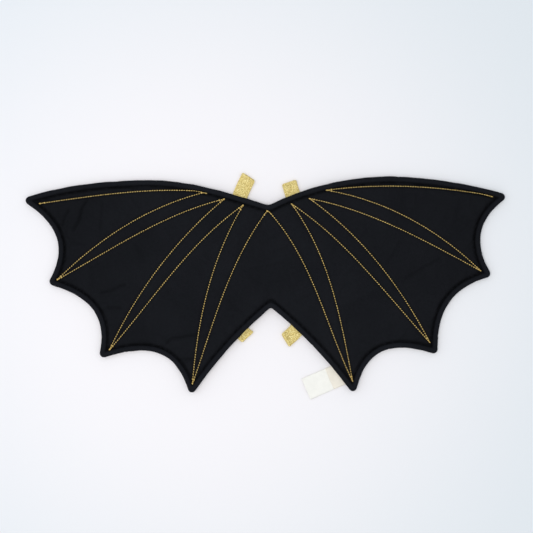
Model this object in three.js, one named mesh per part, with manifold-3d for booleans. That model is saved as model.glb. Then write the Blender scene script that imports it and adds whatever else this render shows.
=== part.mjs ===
// Costume bat wings, laid flat with their front up: a lightly padded and quilted panel of dark cloth, a round
// piping that runs all the way round it, two elastic arm straps whose loops lie folded flat beneath it, and a
// bare label of two leaves at the lower seam of the right wing.
// Millimetres. +X is along the span, +Y towards the top edge and +Z up from the surface that it lies on.
import * as THREE from "three";
import { mergeVertices } from "three/addons/utils/BufferGeometryUtils.js";
import Module from "manifold-3d";

// Overall size, from which the outline's shares are taken
const span = 700;
const depth = 314;

// Piping. It is fuller by tip_extra_radius in the round turn that it makes at each tip of a wing.
const piping_diameter = 7.5;
const piping_sides = 8;
const piping_step = 12;
const tip_extra_radius = 1.65;
const notch_extra_radius = 0.08;
const turn_sides = 12;
const turn_rings = 6;

// Panel: padding, seam and quilting
const panel_thickness = 5.6;
const seam_thickness = 1.8;
const seam_gap = 0.4;
const edge_roll = 12;
const underside_roll = 8;
const quilt_dip = 1.5;
const quilt_reach = 5;

// Spacing of the points that the panel's surface goes through, and how near each kind comes to the others
const seam_step = 11;
const quilt_step = 13;
const fill_step = 24;
const notch_arc_degrees = 24;
const inner_margin = 2.5;
const nearest = { seam: 1, quilting: 3, shoulder: 4.5, ring: 4.5, inner_ring: 6, fill: 11 };

// Elastic straps, each a band with both ends folded over and sewn to the back of the panel
const strap_width = 22;
const strap_thickness = 1.2;
const layer_gap = 0.3;
const fold_radius = 1.2;
const fold_lift = 0.5;
const fold_ease = 8;
const fold_steps = 6;
const sewn_top = 60;
const sewn_bottom = 62;
const strap_step = 12;
const lift_run = 75;

// Label leaves, sewn in at a share of the seam's length
const label_width = 33;
const label_thickness = 0.5;
const label_gap = 0.3;
const label_place = 0.832;
const label_turn_degrees = 15;
const care_leaf_length = 59;
const short_leaf_length = 21.5;
const leaf_start = -3;
const label_fall = 13;
const label_curl = 3;

const piping_radius = piping_diameter / 2;
const tip_radius = piping_radius + tip_extra_radius;
const cloth_black = "#1a1b1e";
const elastic_gold = "#dec87d";
const satin_cream = "#f5f0e4";
const satin_white = "#fafaf3";

// Corners of the piping's centre line, counter-clockwise from the left wing's outer tip. The middle line is
// at 0, out is a share of half the span and down a share of the depth. The stretch that starts at a corner
// bows outwards by bow1 and bow2 of its chord at a third and two thirds of its way.
const outline = [
  { at: "tip", out: -1.0083, down: 0.1083, bow1: -0.279, bow2: -0.359 },
  { at: "tip", out: -0.9049, down: 0.4902, bow1: -0.272, bow2: -0.364 },
  { at: "tip", out: -0.6939, down: 0.8301, bow1: -0.275, bow2: -0.428 },
  { at: "tip", out: -0.3205, down: 0.9976, bow1: -0.045, bow2: -0.047 },
  { at: "notch", out: 0.0108, down: 0.5902, bow1: -0.044, bow2: -0.047 },
  { at: "tip", out: 0.3549, down: 0.9928, bow1: -0.425, bow2: -0.316 },
  { at: "tip", out: 0.6958, down: 0.8112, bow1: -0.253, bow2: -0.286 },
  { at: "tip", out: 0.9174, down: 0.4547, bow1: -0.296, bow2: -0.308 },
  { at: "tip", out: 0.9828, down: 0.092, bow1: 0.042, bow2: 0.041 },
  { at: "crown", out: 0.5068, down: 0.0106, bow1: 0.073, bow2: 0.08 },
  { at: "notch", out: 0.0027, down: 0.1476, bow1: 0.033, bow2: 0.074 },
  { at: "crown", out: -0.5138, down: 0.0286, bow1: 0.041, bow2: 0.058 },
];

// Turns of the one zig-zag line that quilts both wings, in the same shares, each with the bows of the line
// that leads on from it to the next turn.
const quilting = [
  { out: -0.9539, down: 0.1245, bow1: -0.024, bow2: -0.055 },
  { out: -0.2568, down: 0.0702, bow1: 0.101, bow2: 0.083 },
  { out: -0.8806, down: 0.4786, bow1: -0.018, bow2: -0.073 },
  { out: -0.1843, down: 0.1046, bow1: 0.076, bow2: 0.072 },
  { out: -0.6625, down: 0.8048, bow1: -0.009, bow2: -0.072 },
  { out: -0.1051, down: 0.1329, bow1: 0.089, bow2: 0.066 },
  { out: -0.3164, down: 0.9638, bow1: -0.023, bow2: -0.081 },
  { out: -0.0025, down: 0.1561, bow1: -0.098, bow2: -0.004 },
  { out: 0.3515, down: 0.9507, bow1: 0.048, bow2: 0.103 },
  { out: 0.0971, down: 0.1269, bow1: -0.067, bow2: -0.016 },
  { out: 0.6733, down: 0.7695, bow1: 0.074, bow2: 0.087 },
  { out: 0.1718, down: 0.1022, bow1: -0.073, bow2: -0.032 },
  { out: 0.8856, down: 0.4368, bow1: 0.098, bow2: 0.107 },
  { out: 0.2431, down: 0.0627, bow1: -0.057, bow2: -0.047 },
  { out: 0.9343, down: 0.0878, bow1: 0, bow2: 0 },
];

// Middle line of each strap on the surface, from its upper fold to its lower fold, in the same shares, and
// how far each fold lies askew, in degrees.
const strap_lines = {
  strap_left: {
    skew_top_degrees: 5,
    skew_bottom_degrees: 12,
    turns: [
      { out: -0.0817, down: -0.0002 },
      { out: -0.1172, down: 0.0871 },
      { out: -0.1547, down: 0.2602 },
      { out: -0.1843, down: 0.4326 },
      { out: -0.1772, down: 0.5925 },
      { out: -0.1046, down: 0.7291 },
      { out: -0.0857, down: 0.7454 },
    ],
  },
  strap_right: {
    skew_top_degrees: -5,
    skew_bottom_degrees: 12,
    turns: [
      { out: 0.0865, down: 0.0253 },
      { out: 0.1011, down: 0.0792 },
      { out: 0.1513, down: 0.2491 },
      { out: 0.1914, down: 0.4173 },
      { out: 0.1905, down: 0.5748 },
      { out: 0.1174, down: 0.7126 },
      { out: 0.0713, down: 0.7616 },
    ],
  },
};

const wasm = await Module();
wasm.setup();

// A point of a table on the plan.
function placed({ out, down }) {
  return new THREE.Vector2((out * span) / 2, -down * depth);
}

// The stretch between two corners of a table, bowed to the right of its way by shares of its chord.
function bowed(from, to) {
  const start = placed(from);
  const end = placed(to);
  const chord = end.clone().sub(start);
  const right = new THREE.Vector2(chord.y, -chord.x);
  const first = start.clone().addScaledVector(chord, 1 / 3).addScaledVector(right, from.bow1);
  const second = start.clone().addScaledVector(chord, 2 / 3).addScaledVector(right, from.bow2);
  return new THREE.CubicBezierCurve(start, first, second, end);
}

// Points along a curve, at most the given step apart.
function spaced(curve, step) {
  return curve.getSpacedPoints(Math.max(1, Math.ceil(curve.getLength() / step)));
}

// The same points as an open line, at even steps no longer than the one given.
function evenly(points, step) {
  const line = new THREE.CurvePath();
  points.slice(1).forEach((point, i) => line.add(new THREE.LineCurve(points[i], point)));
  return spaced(line, step);
}

const smooth = THREE.MathUtils.smoothstep;
const radians = THREE.MathUtils.degToRad;

// How far a point lies from a line through points.
function distanceTo(point, line) {
  let least = Infinity;
  for (let i = 1; i < line.length; i += 1) {
    const side = line[i].clone().sub(line[i - 1]);
    const share = point.clone().sub(line[i - 1]).dot(side) / side.lengthSq();
    const foot = line[i - 1].clone().addScaledVector(side, THREE.MathUtils.clamp(share, 0, 1));
    least = Math.min(least, foot.distanceTo(point));
  }
  return least;
}

// Runs of piping from one tip or notch to the next. A crown is a smooth point on the way.
function pipingRuns() {
  const runs = [];
  outline.forEach((corner, i) => {
    const stretch = bowed(corner, outline[(i + 1) % outline.length]);
    if (corner.at === "crown") {
      runs.at(-1).flat.add(stretch);
      runs.at(-1).end = outline[(i + 1) % outline.length].at;
      return;
    }
    const flat = new THREE.CurvePath();
    flat.add(stretch);
    runs.push({ flat, start: corner.at, end: outline[(i + 1) % outline.length].at, from: 0, to: 1 });
  });
  return runs;
}
const runs = pipingRuns();

// The round turn of the piping at each tip. Its middle lies inside the corner, on the line that halves it and
// as deep as lets its outside meet both runs' outsides. The two runs are cut short where it meets them.
function tipTurns() {
  const turns = [];
  runs.forEach((run, i) => {
    if (run.start !== "tip") return;
    const run_before = runs.at(i - 1);
    const back = run_before.flat.getTangentAt(1).negate();
    const ahead = run.flat.getTangentAt(0);
    const half_angle = Math.acos(back.dot(ahead)) / 2;
    const inward = back.add(ahead).normalize();
    turns.push(run.flat.getPointAt(0).addScaledVector(inward, tip_extra_radius / Math.sin(half_angle)));
    const cut = tip_extra_radius / Math.tan(half_angle);
    run.from = cut / run.flat.getLength();
    run_before.to = 1 - cut / run_before.flat.getLength();
  });
  return turns;
}
const tips = tipTurns();

// Each strap's middle line on the plan.
function strapGround(name) {
  const turns = strap_lines[name].turns.map((turn) => {
    const point = placed(turn);
    return new THREE.Vector3(point.x, point.y, 0);
  });
  return new THREE.CatmullRomCurve3(turns, false, "centripetal");
}

// How far the straps reach out from the middle line: the wings lie on them up to here.
function strapReach() {
  const middles = Object.keys(strap_lines).flatMap((name) => spaced(strapGround(name), strap_step));
  return Math.max(...middles.map((point) => Math.abs(point.x))) + strap_width / 2;
}
const strap_stack = 2 * strap_thickness + 2 * layer_gap;
const lifted_half = strapReach();

// The seam that the label is caught in runs from the lower notch to the right wing's lowest tip.
const label_seam = runs.find((run) => run.start === "notch" && run.end === "tip").flat;
const label_root = label_seam.getPointAt(label_place);
const leaf_pitch = label_thickness + label_gap;

// Height of the wings' underside above the surface: they bridge the straps and the label's leaves, and lie
// down beyond them.
function rise(x) {
  const over_straps = strap_stack * (1 - smooth(Math.abs(x), lifted_half, lifted_half + lift_run));
  const beside_label = Math.abs(x - label_root.x) - label_width / 2;
  const over_label = 2 * leaf_pitch * (1 - smooth(beside_label, 0, lift_run / 2));
  return Math.max(over_straps, over_label);
}

// A run of piping between the turns at its two ends, as a curve in space.
class PipingRun extends THREE.Curve {
  constructor(run) {
    super();
    this.run = run;
  }
  getPoint(t, target = new THREE.Vector3()) {
    const point = this.run.flat.getPointAt(THREE.MathUtils.lerp(this.run.from, this.run.to, t));
    return target.set(point.x, point.y, piping_radius + rise(point.x));
  }
}

// A closed geometry as a solid that can be joined, and a solid as a geometry.
function solidOf(geometry) {
  const bare = geometry.clone();
  bare.deleteAttribute("normal");
  bare.deleteAttribute("uv");
  const merged = mergeVertices(bare, 1e-3);
  const vertProperties = merged.getAttribute("position").array;
  const triVerts = new Uint32Array(merged.index.array);
  return new wasm.Manifold(new wasm.Mesh({ numProp: 3, vertProperties, triVerts }));
}

function geometryOf(solid) {
  const { vertProperties, triVerts } = solid.getMesh();
  const geometry = new THREE.BufferGeometry();
  geometry.setAttribute("position", new THREE.BufferAttribute(vertProperties, 3));
  geometry.setIndex(new THREE.BufferAttribute(triVerts, 1));
  geometry.computeVertexNormals();
  return geometry;
}

function pipingGeometry() {
  const corners = Array.from({ length: piping_sides }, (_, i) => {
    const angle = (2 * Math.PI * i) / piping_sides;
    return new THREE.Vector2(piping_radius * Math.cos(angle), piping_radius * Math.sin(angle));
  });
  const section = new THREE.Shape(corners);
  const tubes = runs.map((run) => {
    const extrudePath = new PipingRun(run);
    const steps = Math.ceil(extrudePath.getLength() / piping_step);
    return solidOf(new THREE.ExtrudeGeometry(section, { steps, bevelEnabled: false, extrudePath }));
  });
  const turn = (point, radius) => {
    const ball = new THREE.SphereGeometry(radius, turn_sides, turn_rings);
    ball.rotateX(Math.PI / 2);
    ball.scale(1, 1, piping_radius / radius);
    ball.translate(point.x, point.y, piping_radius + rise(point.x));
    return solidOf(ball);
  };
  const tip_turns = tips.map((point) => turn(point, tip_radius));
  const notches = runs.filter((run) => run.start === "notch");
  const notch_turns = notches.map((run) => turn(run.flat.getPointAt(0), piping_radius + notch_extra_radius));
  return geometryOf([...tubes, ...tip_turns, ...notch_turns].reduce((whole, piece) => whole.add(piece)));
}

// How far a point lies inside the piping's inner side.
const centre_lines = runs.map((run) => spaced(run.flat, piping_radius / 2));
function insidePiping(point) {
  const from_runs = Math.min(...centre_lines.map((line) => distanceTo(point, line))) - piping_radius;
  const from_tips = Math.min(...tips.map((tip) => tip.distanceTo(point))) - tip_radius;
  return Math.min(from_runs, from_tips);
}

// A line of points round the panel at one distance inside the piping, with arcs about the two notches.
function ringInside(distance, step) {
  const offset = piping_radius + distance;
  const tolerance = 0.02;
  const ring = [];
  runs.forEach((run) => {
    const fine = Math.ceil(run.flat.getLength());
    const beside = Array.from({ length: fine + 1 }, (_, i) => {
      const ahead = run.flat.getTangentAt(i / fine);
      return run.flat.getPointAt(i / fine).add(new THREE.Vector2(-ahead.y, ahead.x).multiplyScalar(offset));
    });
    const kept = beside.filter((point) => insidePiping(point) > distance - tolerance);
    if (!kept.length) return;
    if (run.start === "notch") ring.push(...arcAbout(run.flat.getPointAt(0), ring.at(-1), kept[0]));
    ring.push(...evenly(kept, step));
  });
  return ring.filter((point, i) => point.distanceTo(ring.at(i - 1)) > nearest.seam);
}

// Points between two others on a circle about a third.
function arcAbout(middle, from, to) {
  const start = from.clone().sub(middle);
  const end = to.clone().sub(middle);
  const turn = Math.atan2(start.cross(end), start.dot(end));
  const count = Math.ceil(Math.abs(turn) / radians(notch_arc_degrees));
  return Array.from({ length: Math.max(0, count - 1) }, (_, i) => {
    return from.clone().rotateAround(middle, (turn * (i + 1)) / count);
  });
}

// Triangles between points on the plan such that no circle through three corners holds a fourth point.
function triangulate(points) {
  const far = 20 * (span + depth);
  const corners = [new THREE.Vector2(-far, -far), new THREE.Vector2(far, -far), new THREE.Vector2(0, far)];
  const all = [...points, ...corners];
  const circled = (a, b, c) => {
    const ab = all[b].clone().sub(all[a]);
    const ac = all[c].clone().sub(all[a]);
    const twice = 2 * ab.cross(ac);
    const x = (ac.y * ab.lengthSq() - ab.y * ac.lengthSq()) / twice;
    const y = (ab.x * ac.lengthSq() - ac.x * ab.lengthSq()) / twice;
    const middle = new THREE.Vector2(x, y).add(all[a]);
    return { corners: [a, b, c], middle, reach: x * x + y * y };
  };
  let triangles = [circled(points.length, points.length + 1, points.length + 2)];
  points.forEach((point, i) => {
    const rim = new Map();
    triangles = triangles.filter(({ corners: [a, b, c], middle, reach }) => {
      if (middle.distanceToSquared(point) >= reach) return true;
      [[a, b], [b, c], [c, a]].forEach(([from, to]) => {
        if (!rim.delete(`${to} ${from}`)) rim.set(`${from} ${to}`, [from, to]);
      });
      return false;
    });
    rim.forEach(([from, to]) => triangles.push(circled(from, to, i)));
  });
  return triangles.map((triangle) => triangle.corners).filter((abc) => Math.max(...abc) < points.length);
}

// Whether a point lies within a closed line of points.
function within(point, ring) {
  let crossings = 0;
  ring.forEach((to, i) => {
    const from = ring.at(i - 1);
    if (from.y > point.y === to.y > point.y) return;
    const x = from.x + ((to.x - from.x) * (point.y - from.y)) / (to.y - from.y);
    if (x > point.x) crossings += 1;
  });
  return crossings % 2 === 1;
}

// The quilting line's stretches, as points that lie on the panel.
const quilt_lines = quilting.slice(1).map((turn, i) => spaced(bowed(quilting[i], turn), quilt_step));

// Points of the panel: its edge, the quilting with a shoulder on each side, two rings and an even fill.
function panelPoints(ring) {
  const points = [...ring];
  const add = (candidates, margin, apart) => {
    candidates.forEach((point) => {
      if (!within(point, ring) || insidePiping(point) < seam_gap + margin) return;
      if (points.every((other) => other.distanceTo(point) > apart)) points.push(point);
    });
  };
  const shoulders = quilt_lines.flatMap((line) => line.slice(1).flatMap((point, i) => {
    const aside = point.clone().sub(line[i]).normalize().rotateAround(new THREE.Vector2(), Math.PI / 2);
    return [1, -1].map((side) => point.clone().addScaledVector(aside, side * quilt_reach));
  }));
  const box = new THREE.Box2().setFromPoints(ring);
  const row_step = fill_step * Math.sin(Math.PI / 3);
  const fill = [];
  for (let row = 0; box.max.y - row * row_step > box.min.y; row += 1) {
    for (let x = box.min.x + (row % 2) * (fill_step / 2); x < box.max.x; x += fill_step) {
      fill.push(new THREE.Vector2(x, box.max.y - row * row_step));
    }
  }
  add(quilt_lines.flat(), inner_margin, nearest.quilting);
  add(ringInside(seam_gap + edge_roll / 2, seam_step), inner_margin, nearest.ring);
  add(shoulders, inner_margin, nearest.shoulder);
  add(ringInside(seam_gap + edge_roll, seam_step), inner_margin, nearest.inner_ring);
  add(fill, edge_roll, nearest.fill);
  // A hair's breadth of unevenness keeps any four points off one circle
  const unevenness = 0.005;
  return points.map((point, i) => {
    const shift = new THREE.Vector2(Math.sin(9 * i), Math.cos(7 * i));
    return point.clone().addScaledVector(shift, unevenness);
  });
}

// Heights of the panel's two faces: rounded down to the seam at the edge, and dipped along the quilting.
function panelTop(point) {
  const in_from_seam = insidePiping(point) - seam_gap;
  const rounding = Math.sqrt(1 - (1 - Math.min(1, Math.max(0, in_from_seam) / edge_roll)) ** 2);
  const seam_top = piping_radius + seam_thickness / 2;
  const from_quilting = Math.min(...quilt_lines.map((line) => distanceTo(point, line)));
  const dip = quilt_dip * Math.exp(-((from_quilting / quilt_reach) ** 2) * 3) * rounding;
  return rise(point.x) + THREE.MathUtils.lerp(seam_top, panel_thickness, rounding) - dip;
}

function panelBottom(point) {
  const in_from_seam = insidePiping(point) - seam_gap;
  const lifted = 1 - smooth(in_from_seam, 0, underside_roll);
  return rise(point.x) + (piping_radius - seam_thickness / 2) * lifted;
}

function panelGeometry() {
  const ring = ringInside(seam_gap, seam_step);
  const points = panelPoints(ring);
  const faces = triangulate(points).filter((corners) => {
    const middle = new THREE.Vector2();
    corners.forEach((corner) => middle.add(points[corner]));
    return within(middle.divideScalar(3), ring);
  });
  const below = points.length;
  const index = [];
  const open = new Map();
  faces.forEach(([a, b, c]) => {
    index.push(a, b, c, below + c, below + b, below + a);
    [[a, b], [b, c], [c, a]].forEach(([from, to]) => {
      if (!open.delete(`${to} ${from}`)) open.set(`${from} ${to}`, [from, to]);
    });
  });
  open.forEach(([from, to]) => {
    index.push(below + from, below + to, to, below + from, to, from);
  });
  const top = points.flatMap((point) => [point.x, point.y, panelTop(point)]);
  const bottom = points.flatMap((point) => [point.x, point.y, panelBottom(point)]);
  const geometry = new THREE.BufferGeometry();
  geometry.setAttribute("position", new THREE.Float32BufferAttribute([...top, ...bottom], 3));
  geometry.setIndex(index);
  geometry.computeVertexNormals();
  return geometry;
}

// Side view of one folded end of a strap, from where it is sewn on, back along its upper layer, round the
// fold and down to the surface: along is measured from the fold.
function foldedEnd(sewn) {
  const low = strap_thickness / 2;
  const high = low + strap_thickness + layer_gap;
  const middle = low + fold_lift + fold_radius;
  const shares = [0, 1 / 3, 2 / 3];
  const run = Math.ceil((sewn - fold_ease) / strap_step);
  const upper = Array.from({ length: run }, (_, i) => {
    return { along: THREE.MathUtils.lerp(sewn, fold_ease, i / run), height: high };
  });
  const rising = shares.map((share) => ({
    along: THREE.MathUtils.lerp(fold_ease, fold_radius, share),
    height: THREE.MathUtils.lerp(high, middle + fold_radius, smooth(share, 0, 1)),
  }));
  const turn = Array.from({ length: fold_steps + 1 }, (_, i) => {
    const angle = Math.PI / 2 + (Math.PI * i) / fold_steps;
    return { along: fold_radius * (1 + Math.cos(angle)), height: middle + fold_radius * Math.sin(angle) };
  });
  const falling = shares.toReversed().map((share) => ({
    along: THREE.MathUtils.lerp(fold_ease, fold_radius, share),
    height: THREE.MathUtils.lerp(low, middle - fold_radius, smooth(share, 0, 1)),
  }));
  return [...upper, ...rising, ...turn, ...falling];
}

// A strap: a flat band bent along its side view and then along its middle line on the plan.
function strapGeometry(name) {
  const { skew_top_degrees, skew_bottom_degrees } = strap_lines[name];
  const ground = strapGround(name);
  const length = ground.getLength();
  const top_end = foldedEnd(sewn_top);
  const bottom_end = foldedEnd(sewn_bottom).reverse();
  bottom_end.forEach((station) => {
    station.along = length - station.along;
  });
  const flat_length = bottom_end[0].along - top_end.at(-1).along;
  const run = Math.ceil(flat_length / strap_step);
  const flat = Array.from({ length: run - 1 }, (_, i) => {
    return { along: top_end.at(-1).along + (flat_length * (i + 1)) / run, height: strap_thickness / 2 };
  });
  const side = [...top_end, ...flat, ...bottom_end];
  const band = new THREE.BoxGeometry(side.length - 1, strap_width, strap_thickness, side.length - 1, 2, 1);
  const position = band.getAttribute("position");
  for (let i = 0; i < position.count; i += 1) {
    const station = Math.round(position.getX(i) + (side.length - 1) / 2);
    const across = position.getY(i);
    const before = side[Math.max(0, station - 1)];
    const after = side[Math.min(side.length - 1, station + 1)];
    const facing = new THREE.Vector2(before.height - after.height, after.along - before.along).normalize();
    const along = side[station].along + facing.x * position.getZ(i);
    const height = side[station].height + facing.y * position.getZ(i);
    const askew_top = skew_top_degrees * (1 - smooth(along, 0, 4 * fold_ease));
    const askew_bottom = skew_bottom_degrees * (1 - smooth(length - along, 0, 4 * fold_ease));
    const reached = along + across * Math.tan(radians(askew_top + askew_bottom));
    const share = THREE.MathUtils.clamp(reached / length, 0, 1);
    const ahead = ground.getTangentAt(share);
    const point = ground.getPointAt(share).addScaledVector(ahead, reached - share * length);
    position.setXYZ(i, point.x - ahead.y * across, point.y + ahead.x * across, height);
  }
  band.computeVertexNormals();
  return band;
}

// A leaf of the label: a thin sheet caught in the seam, which passes close under the piping, comes down on
// the surface and curls up a little at its far end. The care leaf lies under the short one.
function leafGeometry(length, leaves_below) {
  const along_seam = label_seam.getTangentAt(label_place);
  const outwards = new THREE.Vector2(along_seam.y, -along_seam.x);
  outwards.rotateAround(new THREE.Vector2(), radians(-label_turn_degrees));
  const leaf = new THREE.BoxGeometry(label_width, length, label_thickness, 6, 12, 1);
  const position = leaf.getAttribute("position");
  for (let i = 0; i < position.count; i += 1) {
    const out = leaf_start + length / 2 - position.getY(i);
    const x = label_root.x + outwards.x * out - outwards.y * position.getX(i);
    const y = label_root.y + outwards.y * out + outwards.x * position.getX(i);
    const under_piping = rise(x) - label_gap - label_thickness / 2 - (1 - leaves_below) * leaf_pitch;
    const on_surface = label_thickness / 2 + leaves_below * leaf_pitch;
    const curl = label_curl * smooth(out, 0.4 * care_leaf_length, 1.3 * care_leaf_length) ** 2;
    const height = THREE.MathUtils.lerp(under_piping, on_surface, smooth(out, 0, label_fall));
    position.setXYZ(i, x, y, height + curl + position.getZ(i));
  }
  leaf.computeVertexNormals();
  return leaf;
}

function named(name, geometry, color, roughness) {
  const mesh = new THREE.Mesh(geometry, new THREE.MeshStandardMaterial({ color, roughness, metalness: 0 }));
  mesh.name = name;
  return mesh;
}

const group = new THREE.Group();
group.add(named("wing_panel", panelGeometry(), cloth_black, 0.85));
group.add(named("piping", pipingGeometry(), cloth_black, 0.8));
Object.keys(strap_lines).forEach((name) => group.add(named(name, strapGeometry(name), elastic_gold, 0.5)));
group.add(named("label_care_leaf", leafGeometry(care_leaf_length, 0), satin_white, 0.5));
group.add(named("label_short_leaf", leafGeometry(short_leaf_length, 1), satin_cream, 0.45));

// The frame's origin is the middle of the base.
const box = new THREE.Box3().setFromObject(group);
const middle = box.getCenter(new THREE.Vector3());
group.position.set(-middle.x, -middle.y, -box.min.z);

export default group;
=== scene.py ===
import math

import bpy
import numpy as np
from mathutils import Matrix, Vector
from mathutils.geometry import delaunay_2d_cdt
from mathutils.kdtree import KDTree


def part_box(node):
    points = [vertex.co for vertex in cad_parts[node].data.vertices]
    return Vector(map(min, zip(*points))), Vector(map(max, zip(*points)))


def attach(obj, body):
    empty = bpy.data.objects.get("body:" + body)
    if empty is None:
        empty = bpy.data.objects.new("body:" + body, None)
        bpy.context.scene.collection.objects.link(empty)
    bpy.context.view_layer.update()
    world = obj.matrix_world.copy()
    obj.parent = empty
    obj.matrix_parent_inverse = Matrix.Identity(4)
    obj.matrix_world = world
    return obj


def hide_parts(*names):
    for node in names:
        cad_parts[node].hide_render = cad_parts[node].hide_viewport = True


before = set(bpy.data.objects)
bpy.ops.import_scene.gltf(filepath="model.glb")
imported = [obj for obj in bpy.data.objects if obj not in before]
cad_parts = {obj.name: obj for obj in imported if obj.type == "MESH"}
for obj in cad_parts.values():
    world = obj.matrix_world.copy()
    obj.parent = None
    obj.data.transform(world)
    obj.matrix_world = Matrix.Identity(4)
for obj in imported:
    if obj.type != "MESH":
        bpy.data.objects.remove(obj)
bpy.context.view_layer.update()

# The cut of the wings, as the maker draws it on the cloth: one piece for both wings, with four scalloped tips
# on each side, a shallow notch between the shoulders and a deep one below. Corners run counter-clockwise from
# the left wing's outer tip, as shares of half the span and of the depth, with the bows of the next stretch.
SPAN = 0.700
DEPTH = 0.314
PIPING_RADIUS = 0.00375
TIP_EXTRA_RADIUS = 0.00165
SAMPLE = 0.0005
corners = [
    ("tip", -1.0083, 0.1083, -0.279, -0.359),
    ("tip", -0.9049, 0.4902, -0.272, -0.364),
    ("tip", -0.6939, 0.8301, -0.275, -0.428),
    ("tip", -0.3205, 0.9976, -0.045, -0.047),
    ("notch", 0.0108, 0.5902, -0.044, -0.047),
    ("tip", 0.3549, 0.9928, -0.425, -0.316),
    ("tip", 0.6958, 0.8112, -0.253, -0.286),
    ("tip", 0.9174, 0.4547, -0.296, -0.308),
    ("tip", 0.9828, 0.092, 0.042, 0.041),
    ("crown", 0.5068, 0.0106, 0.073, 0.08),
    ("notch", 0.0027, 0.1476, 0.033, 0.074),
    ("crown", -0.5138, 0.0286, 0.041, 0.058),
]


def on_cloth(out, down):
    return np.array([out * SPAN / 2, -down * DEPTH])


def evenly(line, step):
    travelled = np.r_[0, np.cumsum(np.linalg.norm(np.diff(line, axis=0), axis=1))]
    at = np.linspace(0, travelled[-1], max(1, round(travelled[-1] / step)) + 1)
    return np.stack([np.interp(at, travelled, line[:, k]) for k in range(line.shape[1])], axis=1)


def bowed(start, end, bow1, bow2):
    chord = end - start
    right = np.array([chord[1], -chord[0]])
    first = start + chord / 3 + right * bow1
    second = start + chord * 2 / 3 + right * bow2
    t = np.linspace(0, 1, 400)[:, None]
    line = (1 - t) ** 3 * start + 3 * (1 - t) ** 2 * t * first + 3 * (1 - t) * t**2 * second + t**3 * end
    return evenly(line, SAMPLE)


def unit(vector):
    return vector / np.linalg.norm(vector, axis=-1, keepdims=True)


def turned(vector, angle):
    return np.array([
        vector[0] * math.cos(angle) - vector[1] * math.sin(angle),
        vector[0] * math.sin(angle) + vector[1] * math.cos(angle),
    ])


def arc_between(middle, start, end, steps):
    sweep = math.atan2(*(end - middle)[::-1]) - math.atan2(*(start - middle)[::-1])
    sweep = (sweep + math.pi) % (2 * math.pi) - math.pi
    return [middle + turned(start - middle, sweep * k / steps) for k in range(1, steps)]


cut_runs = []
run_starts = []
for number, (kind, out, down, bow1, bow2) in enumerate(corners):
    following = corners[(number + 1) % len(corners)]
    stretch = bowed(on_cloth(out, down), on_cloth(following[1], following[2]), bow1, bow2)
    if kind == "crown":
        cut_runs[-1] = np.vstack([cut_runs[-1], stretch[1:]])
    else:
        cut_runs.append(stretch)
        run_starts.append(kind)

trims = [[0, len(run)] for run in cut_runs]
tip_turns = {}
for number, kind in enumerate(run_starts):
    if kind == "tip":
        back = unit(cut_runs[number - 1][-8] - cut_runs[number - 1][-1])
        ahead = unit(cut_runs[number][7] - cut_runs[number][0])
        half_angle = math.acos(float(back @ ahead)) / 2
        inward = unit(back + ahead) * TIP_EXTRA_RADIUS / math.sin(half_angle)
        tip_turns[number] = cut_runs[number][0] + inward
        cut = round(TIP_EXTRA_RADIUS / math.tan(half_angle) / SAMPLE)
        trims[number][0] = cut
        trims[number - 1][1] -= cut
path = []
for number, run in enumerate(cut_runs):
    first, last = trims[number]
    if number in tip_turns:
        before = cut_runs[number - 1][trims[number - 1][1] - 1]
        path.extend(arc_between(tip_turns[number], before, run[first], 8))
    path.extend(run[first:last])
piping_line = evenly(np.array([*path, path[0]]), SAMPLE)[:-1]
piping_low, piping_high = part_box("piping")
shift = np.array([
    piping_low[0] - piping_line[:, 0].min() + PIPING_RADIUS,
    piping_high[1] - piping_line[:, 1].max() - PIPING_RADIUS,
])
piping_line += shift
piping_ahead = unit(np.roll(piping_line, -1, axis=0) - np.roll(piping_line, 1, axis=0))
piping_inwards = np.stack([-piping_ahead[:, 1], piping_ahead[:, 0]], axis=1)
cut_runs = [run + shift for run in cut_runs]
notches = np.array([run[0] for run, kind in zip(cut_runs, run_starts) if kind == "notch"])
NOTCH_RUN = 0.015

# How the wings lie: their underside rests on the floor, but bridges the folded straps at the middle and the
# label's two leaves at the right wing's lower seam.
STRAP_STACK = 0.003
LIFT_RUN = 0.075
LABEL_WIDTH = 0.033
LABEL_PLACE = 0.832
LABEL_PITCH = 0.0008
lifted_half = max(shift[0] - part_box("strap_left")[0][0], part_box("strap_right")[1][0] - shift[0])
label_seam = cut_runs[4]
root_at = round(LABEL_PLACE * (len(label_seam) - 1))
label_root = label_seam[root_at]


def smooth(value, start, end):
    share = np.clip((value - start) / (end - start), 0, 1)
    return share * share * (3 - 2 * share)


def rise(x):
    over_straps = STRAP_STACK * (1 - smooth(np.abs(x - shift[0]), lifted_half, lifted_half + LIFT_RUN))
    beside_label = np.abs(x - label_root[0]) - LABEL_WIDTH / 2
    return np.maximum(over_straps, 2 * LABEL_PITCH * (1 - smooth(beside_label, 0, LIFT_RUN / 2)))


def nearest(points, samples):
    tree = KDTree(len(samples))
    for number, sample in enumerate(samples):
        tree.insert((*sample, 0), number)
    tree.balance()
    found = [tree.find((x, y, 0)) for x, y in points]
    return np.array([far for _, _, far in found]), np.array([number for _, number, _ in found])


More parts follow.
